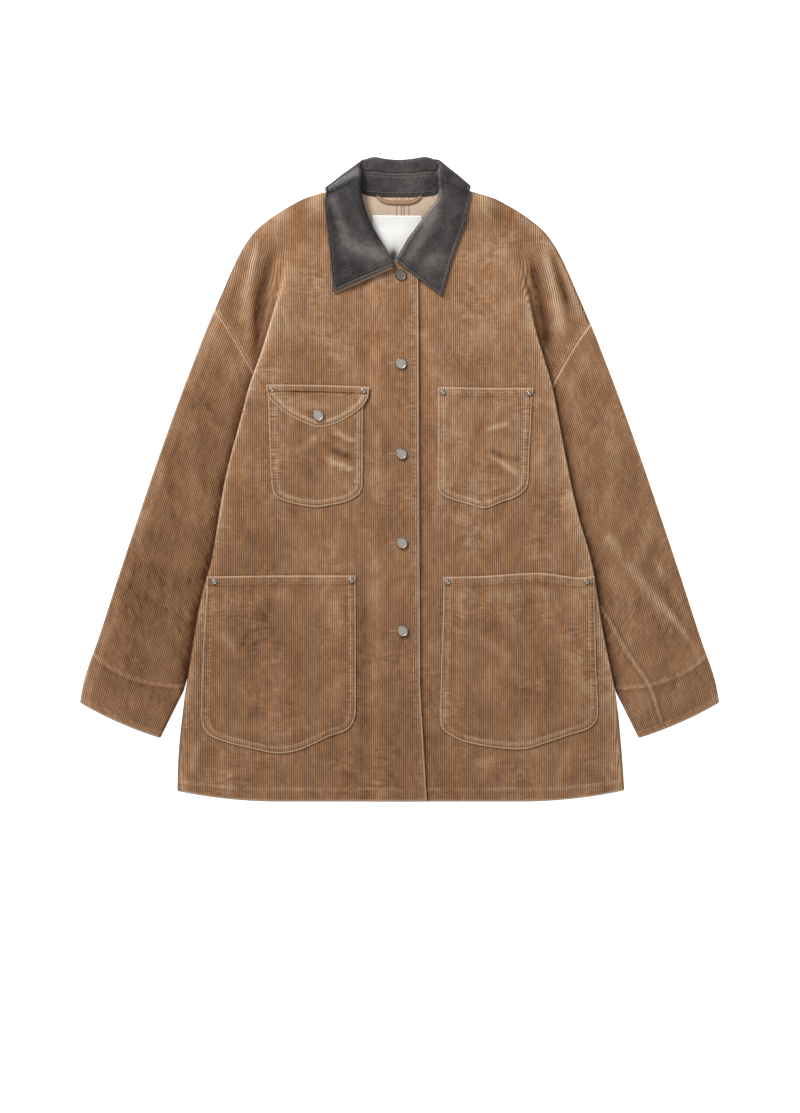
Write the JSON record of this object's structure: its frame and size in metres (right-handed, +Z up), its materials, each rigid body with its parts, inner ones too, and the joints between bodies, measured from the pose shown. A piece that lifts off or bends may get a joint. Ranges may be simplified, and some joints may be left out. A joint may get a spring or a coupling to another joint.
{
  "type": "corduroy jacket",
  "caption": "Chore jacket in corduroy laid flat with its front up, with a pointed leather collar, patch pockets, dropped shoulders and metal buttons down the front.",
  "frame": {"origin": "middle of the bounding box where the jacket rests on the surface", "axes": "+X to the wearer's left, +Y from the hem to the collar, +Z up out of the laid front"},
  "size_m": [0.7988, 0.805, 0.0182],
  "materials": {
    "corduroy": "ribbed cotton pile with a soft nap",
    "corduroy_inside": "plain woven back of the corduroy",
    "collar_leather": "dark smooth leather, satin",
    "label": "plain white woven tape, blank",
    "button_metal": "antiqued, worn at the rim",
    "rivet_metal": "dark antiqued with a lighter centre"
  },
  "bodies": {
    "root": {"front_right": "corduroy", "front_left": "corduroy", "back_right": "corduroy_inside", "back_left": "corduroy_inside", "sleeve_right": "corduroy", "sleeve_left": "corduroy", "chest_pocket_right": "corduroy", "chest_pocket_left": "corduroy", "lower_pocket_right": "corduroy", "lower_pocket_left": "corduroy", "pocket_flap": "corduroy", "button_1": "button_metal", "button_2": "button_metal", "button_3": "button_metal", "button_4": "button_metal", "button_5": "button_metal", "button_flap": "button_metal", "rivet_1": "rivet_metal", "rivet_2": "rivet_metal", "rivet_3": "rivet_metal", "rivet_4": "rivet_metal", "rivet_5": "rivet_metal", "rivet_6": "rivet_metal", "rivet_7": "rivet_metal", "rivet_8": "rivet_metal", "neck_label": "label", "hanger_loop": "corduroy_inside", "collar_stand": "collar_leather", "collar_fall": "collar_leather", "under_collar": "corduroy"}
  },
  "joints": []
}
